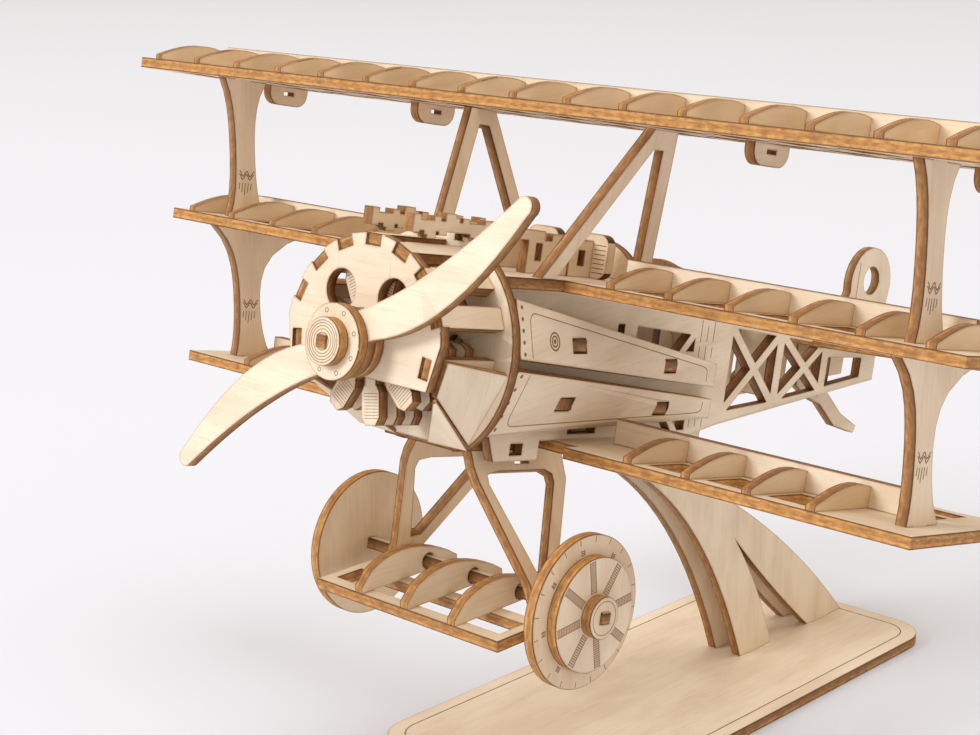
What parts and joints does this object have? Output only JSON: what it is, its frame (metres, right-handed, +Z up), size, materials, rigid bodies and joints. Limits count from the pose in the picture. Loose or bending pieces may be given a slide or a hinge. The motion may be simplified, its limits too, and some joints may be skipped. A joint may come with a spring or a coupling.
{
  "type": "wooden model triplane",
  "caption": "Laser-cut plywood model of a rotary-engined fighter triplane on a curved display stand, with turning propeller, engine and wheels.",
  "frame": {"origin": "centre of the whole model's footprint box, on the surface that the stand's base rests on", "axes": "+Z up; -Y the way the nose points; +X towards the port wing tips. The aeroplane is pitched nose-up about X on its stand"},
  "size_m": [0.3, 0.2483, 0.1843],
  "materials": {
    "ply_face": "sanded basswood plywood face",
    "ply_side": "sanded basswood plywood, toasted",
    "ply_edge": "laser-burnt plywood edge"
  },
  "bodies": {
    "airframe": {"cowl_front_plate": "ply_face", "cowl_slats": "ply_face", "firewall": "ply_face", "cowl_cheek_port": "ply_face", "cowl_cheek_starboard": "ply_face", "cowl_chin_panels": "ply_face", "upper_side_panel_port": "ply_face", "upper_side_panel_starboard": "ply_face", "lower_side_panel_port": "ply_face", "lower_side_panel_starboard": "ply_face", "fuselage_side_port": "ply_side", "fuselage_side_starboard": "ply_side", "fuselage_formers": "ply_side", "cockpit_deck": "ply_face", "turtledeck": "ply_face", "instrument_panel": "ply_face", "seat": "ply_side", "belly_plate": "ply_side", "gun_port": "ply_side", "gun_starboard": "ply_side", "cabane_strut_port": "ply_face", "cabane_strut_starboard": "ply_face", "top_wing_plate": "ply_face", "top_wing_spar": "ply_face", "top_wing_ribs": "ply_side", "mid_wing_plate_port": "ply_face", "mid_wing_plate_starboard": "ply_face", "mid_wing_spars": "ply_face", "mid_wing_ribs_port": "ply_side", "mid_wing_ribs_starboard": "ply_side", "lower_wing_plate": "ply_face", "lower_wing_spar": "ply_face", "lower_wing_ribs": "ply_side", "interplane_strut_port": "ply_face", "interplane_strut_starboard": "ply_face", "top_wing_tabs": "ply_face", "tailplane": "ply_face", "rudder": "ply_face", "tail_skid": "ply_edge", "gear_leg_port": "ply_face", "gear_leg_starboard": "ply_face", "axle_wing_frame": "ply_face", "axle_wing_ribs": "ply_side", "stand_plate_port": "ply_side", "stand_plate_starboard": "ply_side", "stand_ties": "ply_edge", "stand_base": "ply_face"},
    "rotor": {"hub_cap": "ply_side", "propeller_flange": "ply_face", "propeller": "ply_face", "propeller_backing_disc": "ply_side", "crankshaft": "ply_edge", "engine_star_front": "ply_side", "engine_star_middle": "ply_side", "engine_star_rear": "ply_side", "crankcase_discs": "ply_side"},
    "wheelset": {"axle": "ply_face", "tyre_discs": "ply_face", "spoke_discs": "ply_face", "wheel_hub_discs": "ply_face"}
  },
  "joints": [
    {"name": "propeller_spin", "type": "hinge", "parent": "airframe", "child": "rotor", "pos_m": [0, -0.10995, 0.128], "axis": [0, -0.9799, 0.1994], "continuous": true},
    {"name": "wheel_spin", "type": "hinge", "parent": "airframe", "child": "wheelset", "pos_m": [0, -0.07243, 0.05914], "axis": [1, 0, 0], "continuous": true}
  ]
}
